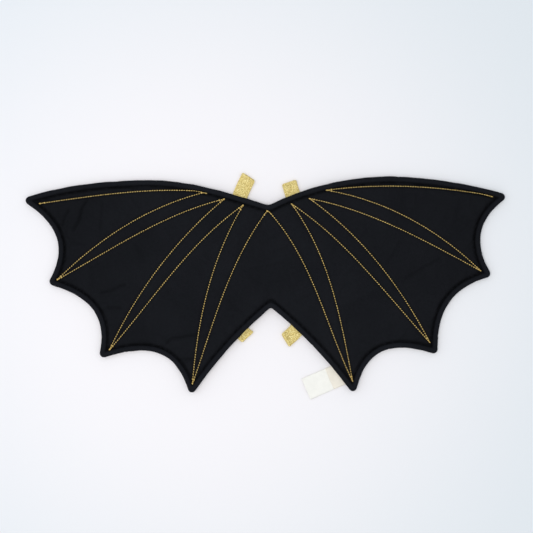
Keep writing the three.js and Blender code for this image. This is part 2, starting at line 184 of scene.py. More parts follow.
# The quilting is one line of gold stitches that zig-zags from the shoulders to the scallops and back,
# fourteen gently bowed lines in all, sewn through the front cloth, the padding and the back cloth.
turns = [
    (-0.9539, 0.1245, -0.024, -0.055),
    (-0.2568, 0.0702, 0.101, 0.083),
    (-0.8806, 0.4786, -0.018, -0.073),
    (-0.1843, 0.1046, 0.076, 0.072),
    (-0.6625, 0.8048, -0.009, -0.072),
    (-0.1051, 0.1329, 0.089, 0.066),
    (-0.3164, 0.9638, -0.023, -0.081),
    (-0.0025, 0.1561, -0.098, -0.004),
    (0.3515, 0.9507, 0.048, 0.103),
    (0.0971, 0.1269, -0.067, -0.016),
    (0.6733, 0.7695, 0.074, 0.087),
    (0.1718, 0.1022, -0.073, -0.032),
    (0.8856, 0.4368, 0.098, 0.107),
    (0.2431, 0.0627, -0.057, -0.047),
    (0.9343, 0.0878, 0, 0),
]
STITCH_CLEAR_OF_PIPING = 0.0007
quilt_lines = []
for (out, down, bow1, bow2), (next_out, next_down, _, _) in zip(turns, turns[1:]):
    line = bowed(on_cloth(out, down), on_cloth(next_out, next_down), bow1, bow2) + shift
    far, sample = nearest(line, piping_line)
    short = np.maximum(PIPING_RADIUS + STITCH_CLEAR_OF_PIPING - far, 0)
    quilt_lines.append(evenly(line + piping_inwards[sample] * short[:, None], SAMPLE))

# The panel: black brushed cloth over thin padding, quilted along those lines, so that it swells a little
# between them and puckers beside them. Its edge is caught under the piping.
PANEL_THICKNESS = 0.0057
SEAM_TOP = 0.0039
SEAM_BOTTOM = 0.00285
SEAM_FLAT = 0.0015
EDGE_ROLL = 0.012
UNDERSIDE_ROLL = 0.008
QUILT_DIP = 0.0015
STITCH_PITCH = 0.0036
TUCKED_UNDER_PIPING = 0.0012
TUCKED_AT_NOTCH = 0.5
QUILT_CHANNEL = 0.0024
QUILT_REACH = 0.009
THREAD_GROOVE = 0.0015
PUCKER_HEIGHT = 0.0003
PUCKER_PITCH = 0.0085
PUCKER_REACH = 0.007
SEAM_PUCKER_HEIGHT = 0.00022
SEAM_PUCKER_PITCH = 0.009
SEAM_PUCKER_REACH = 0.005
HILL_HEIGHT = 0.00035
HILL_WIDTH = 0.06
DIMPLE_HEIGHT = 0.00012
DIMPLE_WIDTH = 0.021
CREASE_DEPTH = 0.0011
CREASE_WIDTH = 0.0021
CREASE_RIDGE = 0.0004
CREASE_RIDGE_WIDTH = 0.0045
BACK_DIP = 0.0006
BACK_CHANNEL = 0.002
# Each crease: how deep it is beside the deepest, and the points that it runs through on the cloth.
creases = [
    (1.0, [(-0.7568, 0.1118), (-0.7755, 0.1431), (-0.7868, 0.1975), (-0.8147, 0.2477)]),
    (0.9, [(-0.8318, 0.1557), (-0.8506, 0.1849), (-0.8581, 0.2268)]),
    (0.4, [(-0.6913, 0.1222), (-0.6996, 0.2477)]),
    (1.0, [(-0.4234, 0.7728), (-0.4047, 0.7519), (-0.3669, 0.7458), (-0.339, 0.7393), (-0.2977, 0.7333)]),
    (0.9, [(-0.367, 0.8494), (-0.3227, 0.8471)]),
    (0.9, [(-0.6955, 0.538), (-0.6496, 0.5265), (-0.6183, 0.508), (-0.5996, 0.503)]),
    (0.7, [(-0.668, 0.61), (-0.614, 0.61)]),
    (0.5, [(0.7151, 0.3792), (0.6492, 0.4196), (0.572, 0.4735)]),
]


def soft_hills(points, wavelength, seed):
    chance = np.random.default_rng(seed)
    height = np.zeros(len(points))
    for _ in range(9):
        angle, phase = chance.uniform(0, 2 * math.pi, 2)
        pitch = wavelength * chance.uniform(0.7, 1.4)
        height += np.sin((points @ [math.cos(angle), math.sin(angle)]) * 2 * math.pi / pitch + phase)
    return height / 9**0.5


def soft_ripple(along, wavelength, seed):
    chance = np.random.default_rng(seed)
    height = np.zeros(len(along))
    for _ in range(6):
        pitch, phase = wavelength * chance.uniform(0.6, 1.6), chance.uniform(0, 2 * math.pi)
        height += np.sin(along * 2 * math.pi / pitch + phase)
    return height / 6**0.5


def ring_inside(offset, step):
    ring = []
    for number, run in enumerate(cut_runs):
        ahead = unit(np.gradient(run, axis=0))
        beside = run + np.stack([-ahead[:, 1], ahead[:, 0]], axis=1) * offset
        clear, _ = nearest(beside, piping_line)
        beside = beside[clear > offset - 2e-5]
        if run_starts[number] == "notch":
            ring.extend(arc_between(run[0], ring[-1], beside[0], 5))
        ring.extend(evenly(beside, step))
    ring = np.array(ring)
    from_notch, _ = nearest(ring, notches)
    _, sample = nearest(ring, piping_line)
    tucked = TUCKED_AT_NOTCH * np.exp(-((from_notch / NOTCH_RUN) ** 2))[:, None]
    ring += (piping_line[sample] - ring) * tucked
    return ring[np.linalg.norm(ring - np.roll(ring, 1, axis=0), axis=1) > step / 6]


def within(points, ring):
    inside = np.zeros(len(points), bool)
    for (x0, y0), (x1, y1) in zip(ring, np.roll(ring, -1, axis=0)):
        crossing = (y0 > points[:, 1]) != (y1 > points[:, 1])
        x = x0 + (x1 - x0) * (points[:, 1] - y0) / (y1 - y0 if y1 != y0 else 1)
        inside ^= crossing & (points[:, 0] < x)
    return inside


quilt_samples = np.vstack(quilt_lines)
quilt_ahead = np.vstack([unit(np.gradient(line, axis=0)) for line in quilt_lines])
quilt_along = np.arange(len(quilt_samples)) * SAMPLE
crease_runs = [evenly(np.array([on_cloth(*turn) for turn in run]) + shift, SAMPLE) for _, run in creases]
crease_samples = np.vstack(crease_runs)
crease_depths = np.concatenate([np.full(len(run), depth) for (depth, _), run in zip(creases, crease_runs)])


def panel_heights(points):
    inward, _ = nearest(points, piping_line)
    inward = np.maximum(inward - PIPING_RADIUS, 0)
    beside, sample = nearest(points, quilt_samples)
    offset = points - quilt_samples[sample]
    left = quilt_ahead[sample, 0] * offset[:, 1] > quilt_ahead[sample, 1] * offset[:, 0]
    along = quilt_along[sample]
    rounding = np.sqrt(1 - (1 - np.clip((inward - SEAM_FLAT) / EDGE_ROLL, 0, 1)) ** 2)
    swell = 0.55 * np.exp(-((beside / QUILT_CHANNEL) ** 2)) + 0.45 * np.exp(-beside / QUILT_REACH)
    pucker = np.where(left, soft_ripple(along, PUCKER_PITCH, 3), soft_ripple(along, PUCKER_PITCH, 4))
    pucker *= PUCKER_HEIGHT * np.exp(-beside / PUCKER_REACH) * smooth(beside, 0, THREAD_GROOVE)
    seam_pucker = SEAM_PUCKER_HEIGHT * np.exp(-inward / SEAM_PUCKER_REACH)
    seam_pucker *= soft_hills(points, SEAM_PUCKER_PITCH, 6)
    hills = HILL_HEIGHT * soft_hills(points, HILL_WIDTH, 7)
    hills += DIMPLE_HEIGHT * soft_hills(points, DIMPLE_WIDTH, 8)
    from_crease, sample = nearest(points, crease_samples)
    crease = CREASE_RIDGE * np.exp(-((from_crease / CREASE_RIDGE_WIDTH) ** 2))
    crease -= CREASE_DEPTH * np.exp(-((from_crease / CREASE_WIDTH) ** 2))
    crease *= crease_depths[sample]
    top = SEAM_TOP + (PANEL_THICKNESS - SEAM_TOP) * rounding
    top += (pucker + seam_pucker + hills + crease - QUILT_DIP * swell) * rounding
    bottom = SEAM_BOTTOM * (1 - smooth(inward, 0, UNDERSIDE_ROLL))
    bottom += BACK_DIP * np.exp(-((beside / BACK_CHANNEL) ** 2)) * rounding
    lift = rise(points[:, 0])
    return lift + top, lift + bottom


# Painted shade: how open the cloth is to the light, painted into its colour. It is painted dark in the seam
# beside the piping, beside the sewn stitches and along the creases, and a little darker towards the tips,
# where the nap that lies outwards gives a duller sheen.
SEAM_SHADE = 0.002
STITCH_SHADE = 0.0019
CREASE_SHADE = 0.0022
DARKER_FROM = 0.1
DARKER_TO = 0.33


def painted_openness(points):
    far, sample = nearest(points, piping_line)
    offset = points - piping_line[sample]
    inside = (offset * piping_inwards[sample]).sum(axis=1) > 0
    from_seam = np.where(inside, far, -far) - PIPING_RADIUS
    beside, _ = nearest(points, quilt_samples)
    from_crease, sample = nearest(points, crease_samples)
    # Painted shade in the seam, beside the stitches, in the creases and towards the tips.
    shaded = 0.9 + 0.1 * soft_hills(points, 0.012, 9)
    shaded *= np.exp(-(((from_seam - SEAM_FLAT) / SEAM_SHADE) ** 2))
    shaded += 0.6 * np.exp(-((beside / STITCH_SHADE) ** 2))
    shaded += 0.42 * crease_depths[sample] * np.exp(-((from_crease / CREASE_SHADE) ** 2))
    shaded += 0.16 * smooth(np.abs(points[:, 0] - shift[0]), DARKER_FROM, DARKER_TO)
    return 1 - np.clip(shaded, 0, 0.9)


def new_mesh(name, vertices, faces, material):
    mesh = bpy.data.meshes.new(name)
    mesh.from_pydata([tuple(v) for v in vertices], [], [tuple(int(i) for i in f) for f in faces])
    mesh.materials.append(material)
    mesh.polygons.foreach_set("use_smooth", [True] * len(mesh.polygons))
    piece = bpy.data.objects.new(name, mesh)
    bpy.context.scene.collection.objects.link(piece)
    return piece


def new_material(name, roughness):
    material = bpy.data.materials.new(name)
    material.use_nodes = True
    nodes, links = material.node_tree.nodes, material.node_tree.links
    shader = nodes["Principled BSDF"]
    shader.inputs["Roughness"].default_value = roughness
    position = nodes.new("ShaderNodeTexCoord").outputs["Object"]
    return material, nodes, links, shader, position


# Brushed cloth: short fibres that break up the light, a fine knit under them, slow changes of shade, and
# painted shade: a near-black colour mixed in where the cloth is marked as little open to the light, in its
# seams, beside its stitches and along its creases.
nap = bpy.data.node_groups.new("brushed nap", "ShaderNodeTree")
nap.interface.new_socket("Position", in_out="INPUT", socket_type="NodeSocketVector")
nap.interface.new_socket("Fibre Scale", in_out="INPUT", socket_type="NodeSocketFloat").default_value = 1500
nap.interface.new_socket("Seam", in_out="INPUT", socket_type="NodeSocketColor")
nap.interface.new_socket("Dark", in_out="INPUT", socket_type="NodeSocketColor")
nap.interface.new_socket("Light", in_out="INPUT", socket_type="NodeSocketColor")
nap.interface.new_socket("Colour", in_out="OUTPUT", socket_type="NodeSocketColor")
nap.interface.new_socket("Height", in_out="OUTPUT", socket_type="NodeSocketFloat")
nap_in = nap.nodes.new("NodeGroupInput")
nap_out = nap.nodes.new("NodeGroupOutput")
fibres = nap.nodes.new("ShaderNodeTexNoise")
fibres.inputs["Detail"].default_value = 4
fibres.inputs["Distortion"].default_value = 1.2
clumps = nap.nodes.new("ShaderNodeTexNoise")
clumps.inputs["Scale"].default_value = 260
clumps.inputs["Detail"].default_value = 3
shades = nap.nodes.new("ShaderNodeTexNoise")
shades.inputs["Scale"].default_value = 14
shades.inputs["Detail"].default_value = 2
fine_and_coarse = nap.nodes.new("ShaderNodeMath")
fine_and_coarse.operation = "MULTIPLY_ADD"
fine_and_coarse.inputs[1].default_value = 0.6
shade = nap.nodes.new("ShaderNodeMath")
shade.operation = "MULTIPLY_ADD"
shade.inputs[1].default_value = 0.9
spread = nap.nodes.new("ShaderNodeMapRange")
spread.inputs["From Min"].default_value = 0.85
spread.inputs["From Max"].default_value = 1.65
tone = nap.nodes.new("ShaderNodeMix")
tone.data_type = "RGBA"
open_to_light = nap.nodes.new("ShaderNodeAttribute")
open_to_light.attribute_name = "painted_openness"
seam_shade_mix = nap.nodes.new("ShaderNodeMix")
seam_shade_mix.data_type = "RGBA"
for start, end in (
    (nap_in.outputs["Position"], fibres.inputs["Vector"]),
    (nap_in.outputs["Position"], clumps.inputs["Vector"]),
    (nap_in.outputs["Position"], shades.inputs["Vector"]),
    (nap_in.outputs["Fibre Scale"], fibres.inputs["Scale"]),
    (clumps.outputs["Fac"], fine_and_coarse.inputs[0]),
    (fibres.outputs["Fac"], fine_and_coarse.inputs[2]),
    (shades.outputs["Fac"], shade.inputs[0]),
    (fine_and_coarse.outputs["Value"], shade.inputs[2]),
    (shade.outputs["Value"], spread.inputs["Value"]),
    (spread.outputs["Result"], tone.inputs["Factor"]),
    (nap_in.outputs["Dark"], tone.inputs["A"]),
    (nap_in.outputs["Light"], tone.inputs["B"]),
    (open_to_light.outputs["Fac"], seam_shade_mix.inputs["Factor"]),
    (nap_in.outputs["Seam"], seam_shade_mix.inputs["A"]),
    (tone.outputs["Result"], seam_shade_mix.inputs["B"]),
    (seam_shade_mix.outputs["Result"], nap_out.inputs["Colour"]),
    (fine_and_coarse.outputs["Value"], nap_out.inputs["Height"]),
):
    nap.links.new(start, end)


def brushed_cloth(name, dark, light, fibre_scale, depth):
    material, nodes, links, shader, position = new_material(name, 0.85)
    shader.inputs["Specular IOR Level"].default_value = 0.06
    grain = nodes.new("ShaderNodeGroup")
    grain.node_tree = nap
    grain.inputs["Fibre Scale"].default_value = fibre_scale
    # The near-black colour of the painted shade in the seams.
    grain.inputs["Seam"].default_value = (0.0008, 0.0009, 0.0013, 1)
    grain.inputs["Dark"].default_value = (*dark, 1)
    grain.inputs["Light"].default_value = (*light, 1)
    bump = nodes.new("ShaderNodeBump")
    bump.inputs["Distance"].default_value = depth
    bump.inputs["Strength"].default_value = 0.8
    links.new(position, grain.inputs["Position"])
    links.new(grain.outputs["Colour"], shader.inputs["Base Color"])
    links.new(grain.outputs["Height"], bump.inputs["Height"])
    links.new(bump.outputs["Normal"], shader.inputs["Normal"])
    return material


def mark_painted_openness(piece):
    points = np.empty(len(piece.data.vertices) * 3)
    piece.data.vertices.foreach_get("co", points)
    attribute = piece.data.attributes.new("painted_openness", "FLOAT", "POINT")
    attribute.data.foreach_set("value", painted_openness(points.reshape(-1, 3)[:, :2]))


def finished(piece):
    depsgraph = bpy.context.evaluated_depsgraph_get()
    depsgraph.update()
    made = bpy.data.meshes.new_from_object(piece.evaluated_get(depsgraph))
    piece.modifiers.clear()
    piece.data = made
    return piece


panel_cloth = brushed_cloth("wing cloth", (0.0058, 0.0062, 0.0078), (0.0096, 0.0101, 0.0125), 1500, 0.0004)

CLOTH_STEP = 0.0030
EDGE_STEP = 0.0028
ROW_BESIDE_STITCHES = 0.0016
ROW_GAP = 0.0011
ROW_CLEAR_OF_EDGE = 0.0015
FILL_CLEAR_OF_EDGE = 0.0022
FILL_CLEAR_OF_ROWS = 0.0019
edge = ring_inside(PIPING_RADIUS - TUCKED_UNDER_PIPING, EDGE_STEP)
low, high = edge.min(axis=0), edge.max(axis=0)
rows = np.arange(low[1], high[1], CLOTH_STEP * math.sin(math.pi / 3))
fill = np.array([
    (x + (row % 2) * CLOTH_STEP / 2, y)
    for row, y in enumerate(rows)
    for x in np.arange(low[0], high[0], CLOTH_STEP)
])
beside_lines = [evenly(line, STITCH_PITCH / 2) for line in quilt_lines]
for line in list(beside_lines):
    ahead = unit(np.gradient(line, axis=0))
    aside = np.stack([-ahead[:, 1], ahead[:, 0]], axis=1)
    beside_lines += [line + aside * ROW_BESIDE_STITCHES, line - aside * ROW_BESIDE_STITCHES]
sewn_points = np.vstack(beside_lines)


def clear_of(points, others, gap):
    distance, _ = nearest(points, others)
    return points[distance > gap]


def thinned(points, gap):
    chosen = []
    cells = {}
    for x, y in points:
        cell = (math.floor(x / gap), math.floor(y / gap))
        near = [q for i in (-1, 0, 1) for j in (-1, 0, 1) for q in cells.get((cell[0] + i, cell[1] + j), ())]
        if all((q[0] - x) ** 2 + (q[1] - y) ** 2 > gap * gap for q in near):
            cells.setdefault(cell, []).append((x, y))
            chosen.append((x, y))
    return np.array(chosen)


sewn_points = clear_of(sewn_points[within(sewn_points, edge)], edge, ROW_CLEAR_OF_EDGE)
sewn_points = thinned(sewn_points, ROW_GAP)
fill = clear_of(fill[within(fill, edge)], edge, FILL_CLEAR_OF_EDGE)
fill = clear_of(fill, sewn_points, FILL_CLEAR_OF_ROWS)
plan_points = np.vstack([edge, sewn_points, fill])
MILLIMETRE = 0.001
corners_on_plan = [Vector(point / MILLIMETRE) for point in plan_points]
edge_sides = [(i, (i + 1) % len(edge)) for i in range(len(edge))]
cut = delaunay_2d_cdt(corners_on_plan, edge_sides, [], 0, 1e-5, False)
plan = np.array([tuple(v) for v in cut[0]]) * MILLIMETRE
triangles = np.array([tuple(face) for face in cut[2]])
triangles = [tuple(face) for face in triangles[within(plan[triangles].mean(axis=1), edge)]]
sides = {}
for a, b, c in triangles:
    for start, end in ((a, b), (b, c), (c, a)):
        if sides.pop((end, start), None) is None:
            sides[(start, end)] = True
top, bottom = panel_heights(plan)

# The front cloth is a little wide for its seams and is pushed up by the padding, so it wrinkles beside them.
PADDING_PRESSURE = 0.4
CLOTH_EASE = 0.03
MOST_SWELL = 0.0016
SETTLING_FRAMES = 20
HELD_WITHIN = 0.0004
FREE_FROM_EDGE = 0.004
STIFF_AT_STITCHES = 0.0008
FREE_FROM_STITCHES = 0.010


def settled(points, faces, sewn_down, freedom):
    skin = new_mesh("front cloth", points, faces, panel_cloth)
    seam = skin.vertex_groups.new(name="sewn down")
    seam.add([int(i) for i in np.flatnonzero(sewn_down)], 1, "REPLACE")
    cloth = skin.modifiers.new("padding", "CLOTH")
    cloth.settings.quality = 6
    cloth.settings.mass = 0.1
    cloth.settings.tension_stiffness = 12
    cloth.settings.compression_stiffness = 12
    cloth.settings.shear_stiffness = 4
    cloth.settings.bending_stiffness = 0.15
    cloth.settings.shrink_min = -CLOTH_EASE
    cloth.settings.use_pressure = True
    cloth.settings.uniform_pressure_force = PADDING_PRESSURE
    cloth.settings.vertex_group_mass = "sewn down"
    cloth.settings.effector_weights.gravity = 0
    cloth.collision_settings.use_collision = False
    cloth.point_cache.frame_start = 1
    cloth.point_cache.frame_end = SETTLING_FRAMES
    for moment in range(1, SETTLING_FRAMES + 1):
        bpy.context.scene.frame_set(moment)
    finished(skin)
    bpy.context.scene.frame_set(1)
    made = np.empty(len(points) * 3)
    skin.data.vertices.foreach_get("co", made)
    bpy.data.objects.remove(skin)
    move = (made.reshape(-1, 3) - points) * freedom[:, None]
    reach = np.linalg.norm(move, axis=1, keepdims=True)
    return points + move * np.minimum(1, MOST_SWELL / np.maximum(reach, 1e-9))


front = np.column_stack([plan, top])
from_edge, _ = nearest(plan, edge)
from_stitches, _ = nearest(plan, quilt_samples)
freedom = smooth(from_edge, 0, FREE_FROM_EDGE)
freedom = freedom * smooth(from_stitches, STIFF_AT_STITCHES, FREE_FROM_STITCHES)
sewn_down = (from_edge < HELD_WITHIN) | (from_stitches < HELD_WITHIN)
front = settled(front, triangles, sewn_down, freedom)
below = len(plan)
vertices = np.vstack([front, np.column_stack([plan, bottom])])
faces = triangles + [(below + c, below + b, below + a) for a, b, c in triangles]
faces += [(below + start, below + end, end, start) for start, end in sides]
panel = new_mesh("quilted_panel", vertices, faces, panel_cloth)
mark_painted_openness(panel)
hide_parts("wing_panel")
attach(panel, "root")

# The piping: a strip of the same cloth sewn round a soft cord, which runs round both wings without a break.
# It wrinkles where it bends, and makes a tight round turn at each tip.
PIPING_VOXEL = 0.0009
NOTCH_EASE = 0.0014
PIPING_STEP = 0.001
SOFTENINGS = 40
LITTLE_SOFTENED_AFTER = 2
AROUND = 20
WIDER_THAN_HIGH = 1.125
WRINKLE_DEPTH = 0.00042
WRINKLE_PITCH = 0.0085
LEAN_PITCH = 0.05
FULLNESS = 0.00012
FULLNESS_PITCH = 0.03
piping_route = evenly(np.vstack([piping_line, piping_line[:1]]), PIPING_STEP)[:-1]
for softening in range(1, SOFTENINGS + 1):
    neighbours = np.roll(piping_route, 1, axis=0) + np.roll(piping_route, -1, axis=0)
    piping_route = (2 * piping_route + neighbours) / 4
    if softening == LITTLE_SOFTENED_AFTER:
        little_softened = piping_route
from_notch, _ = nearest(piping_route, notches)
at_notch = np.exp(-((from_notch / NOTCH_RUN) ** 2))[:, None]
eased = (piping_route - little_softened) * at_notch
reach = np.linalg.norm(eased, axis=1, keepdims=True)
piping_route = little_softened + eased * np.minimum(1, NOTCH_EASE / np.maximum(reach, 1e-9))
ahead = unit(np.roll(piping_route, -1, axis=0) - np.roll(piping_route, 1, axis=0))
inwards = np.stack([-ahead[:, 1], ahead[:, 0]], axis=1)
along = np.arange(len(piping_route)) * PIPING_STEP
wrinkle = WRINKLE_DEPTH * np.clip(soft_ripple(along, WRINKLE_PITCH, 11), 0, None) ** 1.5
lean = 1.2 * soft_ripple(along, LEAN_PITCH, 12)
fullness = FULLNESS * soft_ripple(along, FULLNESS_PITCH, 13)
rings = []
for step in range(AROUND):
    angle = 2 * math.pi * step / AROUND
    radius = PIPING_RADIUS + fullness - wrinkle * (1 + np.cos(angle - lean)) / 2
    flat = piping_route + inwards * (WIDER_THAN_HIGH * radius * math.cos(angle))[:, None]
    rings.append(np.column_stack([flat, PIPING_RADIUS + rise(piping_route[:, 0]) + radius * math.sin(angle)]))
vertices = np.stack(rings, axis=1).reshape(-1, 3)
faces = []
count = len(piping_route)
for i in range(count):
    for j in range(AROUND):
        here, there = i * AROUND, (i + 1) % count * AROUND
        faces.append((here + j, here + (j + 1) % AROUND, there + (j + 1) % AROUND, there + j))
# The piping is the same cloth with its colour set a little lighter and bluer: painted light for the bluish
# light on its rounded outer side.
piping_cloth = brushed_cloth("piping cloth", (0.0065, 0.0070, 0.0091), (0.0106, 0.0113, 0.0142), 1700, 0.0003)
piping = new_mesh("piping_roll", vertices, faces, piping_cloth)
joined = piping.modifiers.new("one skin", "REMESH")
joined.mode = "VOXEL"
joined.voxel_size = PIPING_VOXEL
joined.use_smooth_shade = True
softened = piping.modifiers.new("soft", "SMOOTH")
softened.factor = 0.5
softened.iterations = 3
finished(piping)
mark_painted_openness(piping)
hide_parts("piping")
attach(piping, "root")

# The gold thread: a thick two-ply thread in even stitches that sink into the cloth at their ends, with a few
# stitches on top of each other at every turn. On the back runs a thinner black thread.
THREAD_RADIUS = 0.00065
THREAD_FLATNESS = 0.62
STITCH_LENGTH = 0.0029
STITCH_SLANT = 0.09
STITCH_ARCH = 0.00052
STITCH_SINK = 0.00016
LINE_STEP = 0.0012
TACK_ASIDE = 0.00035
TACK_LIFT = 0.00025
TACK_SAMPLES = 14
BACK_THREAD_RADIUS = 0.00032
BACK_ARCH = 0.0004
BACK_SINK = 0.0001
BACK_LINE_STEP = 0.0018


def one_stitch(name, length, radius, arch, sink):
    spots, sides_round = 7, 8
    vertices, faces, wraps = [], [], []
    for spot in range(spots):
        share = spot / (spots - 1)
        x = (share - 0.5) * length
        taper = 0.4 + 0.6 * math.sin(math.pi * share) ** 0.8
        z = arch * math.sin(math.pi * share) - sink
        for side in range(sides_round):
            angle = 2 * math.pi * side / sides_round
            y = STITCH_SLANT * x + radius * taper * math.cos(angle)
            vertices.append((x, y, z + THREAD_FLATNESS * radius * taper * math.sin(angle)))
    for spot in range(spots - 1):
        for side in range(sides_round):
            here = spot * sides_round + side
            beside = spot * sides_round + (side + 1) % sides_round
            faces.append((here, beside, beside + sides_round, here + sides_round))
            for i, j in ((0, 0), (0, 1), (1, 1), (1, 0)):
                wraps += [(spot + i) / (spots - 1), (side + j) / sides_round]
    faces.append(tuple(range(sides_round))[::-1])
    faces.append(tuple((spots - 1) * sides_round + side for side in range(sides_round)))
    wraps += [0, 0] * 2 * sides_round
    piece = new_mesh(name, vertices, faces, bpy.data.materials.new(name))
    piece.data.uv_layers.new(name="along and round").data.foreach_set("uv", wraps)
    return piece


sewing = bpy.data.node_groups.new("stitches along a line", "GeometryNodeTree")
sewing.interface.new_socket("Geometry", in_out="INPUT", socket_type="NodeSocketGeometry")
pitch = sewing.interface.new_socket("Pitch", in_out="INPUT", socket_type="NodeSocketFloat")
pitch.default_value = STITCH_PITCH
sewing.interface.new_socket("Stitch", in_out="INPUT", socket_type="NodeSocketObject")
sewing.interface.new_socket("Unevenness", in_out="INPUT", socket_type="NodeSocketFloat").default_value = 0.05
sewing.interface.new_socket("Thread", in_out="INPUT", socket_type="NodeSocketMaterial")
sewing.interface.new_socket("Geometry", in_out="OUTPUT", socket_type="NodeSocketGeometry")
sewing_in = sewing.nodes.new("NodeGroupInput")
sewing_out = sewing.nodes.new("NodeGroupOutput")
route = sewing.nodes.new("GeometryNodeMeshToCurve")
spots = sewing.nodes.new("GeometryNodeCurveToPoints")
spots.mode = "LENGTH"
aim = sewing.nodes.new("FunctionNodeAlignRotationToVector")
aim.axis = "X"
wobble = sewing.nodes.new("FunctionNodeRandomValue")
wobble.data_type = "FLOAT_VECTOR"
wobble.inputs["Seed"].default_value = 5
negative = sewing.nodes.new("ShaderNodeMath")
negative.operation = "MULTIPLY"
negative.inputs[1].default_value = -1
tilt = sewing.nodes.new("FunctionNodeEulerToRotation")
lay = sewing.nodes.new("FunctionNodeRotateRotation")
lay.rotation_space = "LOCAL"
sizes = sewing.nodes.new("FunctionNodeRandomValue")
sizes.data_type = "FLOAT_VECTOR"
sizes.inputs["Min"].default_value = (0.95, 0.9, 0.9)
sizes.inputs["Max"].default_value = (1.03, 1.08, 1.12)
sizes.inputs["Seed"].default_value = 9
stitch_info = sewing.nodes.new("GeometryNodeObjectInfo")
placing = sewing.nodes.new("GeometryNodeInstanceOnPoints")
real = sewing.nodes.new("GeometryNodeRealizeInstances")
colouring = sewing.nodes.new("GeometryNodeSetMaterial")
for start, end in (
    (sewing_in.outputs["Geometry"], route.inputs["Mesh"]),
    (route.outputs["Curve"], spots.inputs["Curve"]),
    (sewing_in.outputs["Pitch"], spots.inputs["Length"]),
    (spots.outputs["Tangent"], aim.inputs["Vector"]),
    (sewing_in.outputs["Unevenness"], negative.inputs[0]),
    (negative.outputs["Value"], wobble.inputs["Min"]),
    (sewing_in.outputs["Unevenness"], wobble.inputs["Max"]),
    (wobble.outputs["Value"], tilt.inputs["Euler"]),
    (aim.outputs["Rotation"], lay.inputs["Rotation"]),
    (tilt.outputs["Rotation"], lay.inputs["Rotate By"]),
    (sewing_in.outputs["Stitch"], stitch_info.inputs["Object"]),
    (spots.outputs["Points"], placing.inputs["Points"]),
    (stitch_info.outputs["Geometry"], placing.inputs["Instance"]),
    (lay.outputs["Rotation"], placing.inputs["Rotation"]),
    (sizes.outputs["Value"], placing.inputs["Scale"]),
    (placing.outputs["Instances"], real.inputs["Geometry"]),
    (real.outputs["Geometry"], colouring.inputs["Geometry"]),
    (sewing_in.outputs["Thread"], colouring.inputs["Material"]),
    (colouring.outputs["Geometry"], sewing_out.inputs["Geometry"]),
):
    sewing.links.new(start, end)
sewing_inputs = [item for item in sewing.interface.items_tree if item.in_out == "INPUT"]
sewing_sockets = {item.name: item.identifier for item in sewing_inputs}


def sewn(name, lines, stitch, pitch, unevenness, thread):
    vertices, edges = [], []
    for line in lines:
        edges += [(len(vertices) + i, len(vertices) + i + 1) for i in range(len(line) - 1)]
        vertices += [tuple(point) for point in line]
    mesh = bpy.data.meshes.new(name)
    mesh.from_pydata(vertices, edges, [])
    piece = bpy.data.objects.new(name, mesh)
    bpy.context.scene.collection.objects.link(piece)
    nodes = piece.modifiers.new("sewing", "NODES")
    nodes.node_group = sewing
    nodes[sewing_sockets["Pitch"]] = pitch
    nodes[sewing_sockets["Stitch"]] = stitch
    nodes[sewing_sockets["Unevenness"]] = unevenness
    nodes[sewing_sockets["Thread"]] = thread
    finished(piece)
    bpy.data.objects.remove(stitch)
    return piece


def thread_material(name, dark, light, roughness):
    material, nodes, links, shader, position = new_material(name, roughness)
    wrap = nodes.new("ShaderNodeUVMap")
    wrap.uv_map = "along and round"
    twist = nodes.new("ShaderNodeVectorMath")
    twist.operation = "DOT_PRODUCT"
    twist.inputs[1].default_value = (5 * math.pi, 4 * math.pi, 0)
    plies = nodes.new("ShaderNodeMath")
    plies.operation = "SINE"
    fluff = nodes.new("ShaderNodeTexNoise")
    fluff.inputs["Scale"].default_value = 700
    fluff.inputs["Detail"].default_value = 2
    # Painted shade and highlight: the plies are painted darker in the grooves between them and lighter on
    # their crowns, over the thread's own random fluff.
    lit = nodes.new("ShaderNodeMath")
    lit.operation = "MULTIPLY_ADD"
    lit.inputs[1].default_value = 0.17
    colour = nodes.new("ShaderNodeValToRGB")
    colour.color_ramp.elements[0].position = 0.3
    colour.color_ramp.elements[0].color = (*dark, 1)
    colour.color_ramp.elements[1].position = 0.62
    colour.color_ramp.elements[1].color = (*light, 1)
    bump = nodes.new("ShaderNodeBump")
    bump.inputs["Distance"].default_value = 0.0002
    for start, end in (
        (wrap.outputs["UV"], twist.inputs[0]),
        (twist.outputs["Value"], plies.inputs[0]),
        (position, fluff.inputs["Vector"]),
        (plies.outputs["Value"], lit.inputs[0]),
        (fluff.outputs["Fac"], lit.inputs[2]),
        (lit.outputs["Value"], colour.inputs["Fac"]),
        (colour.outputs["Color"], shader.inputs["Base Color"]),
        (lit.outputs["Value"], bump.inputs["Height"]),
        (bump.outputs["Normal"], shader.inputs["Normal"]),
    ):
        links.new(start, end)
    return material


def on_front(line):
    height, _ = panel_heights(line)
    return np.column_stack([line, height])


def on_back(line):
    _, height = panel_heights(line)
    return np.column_stack([line, height])


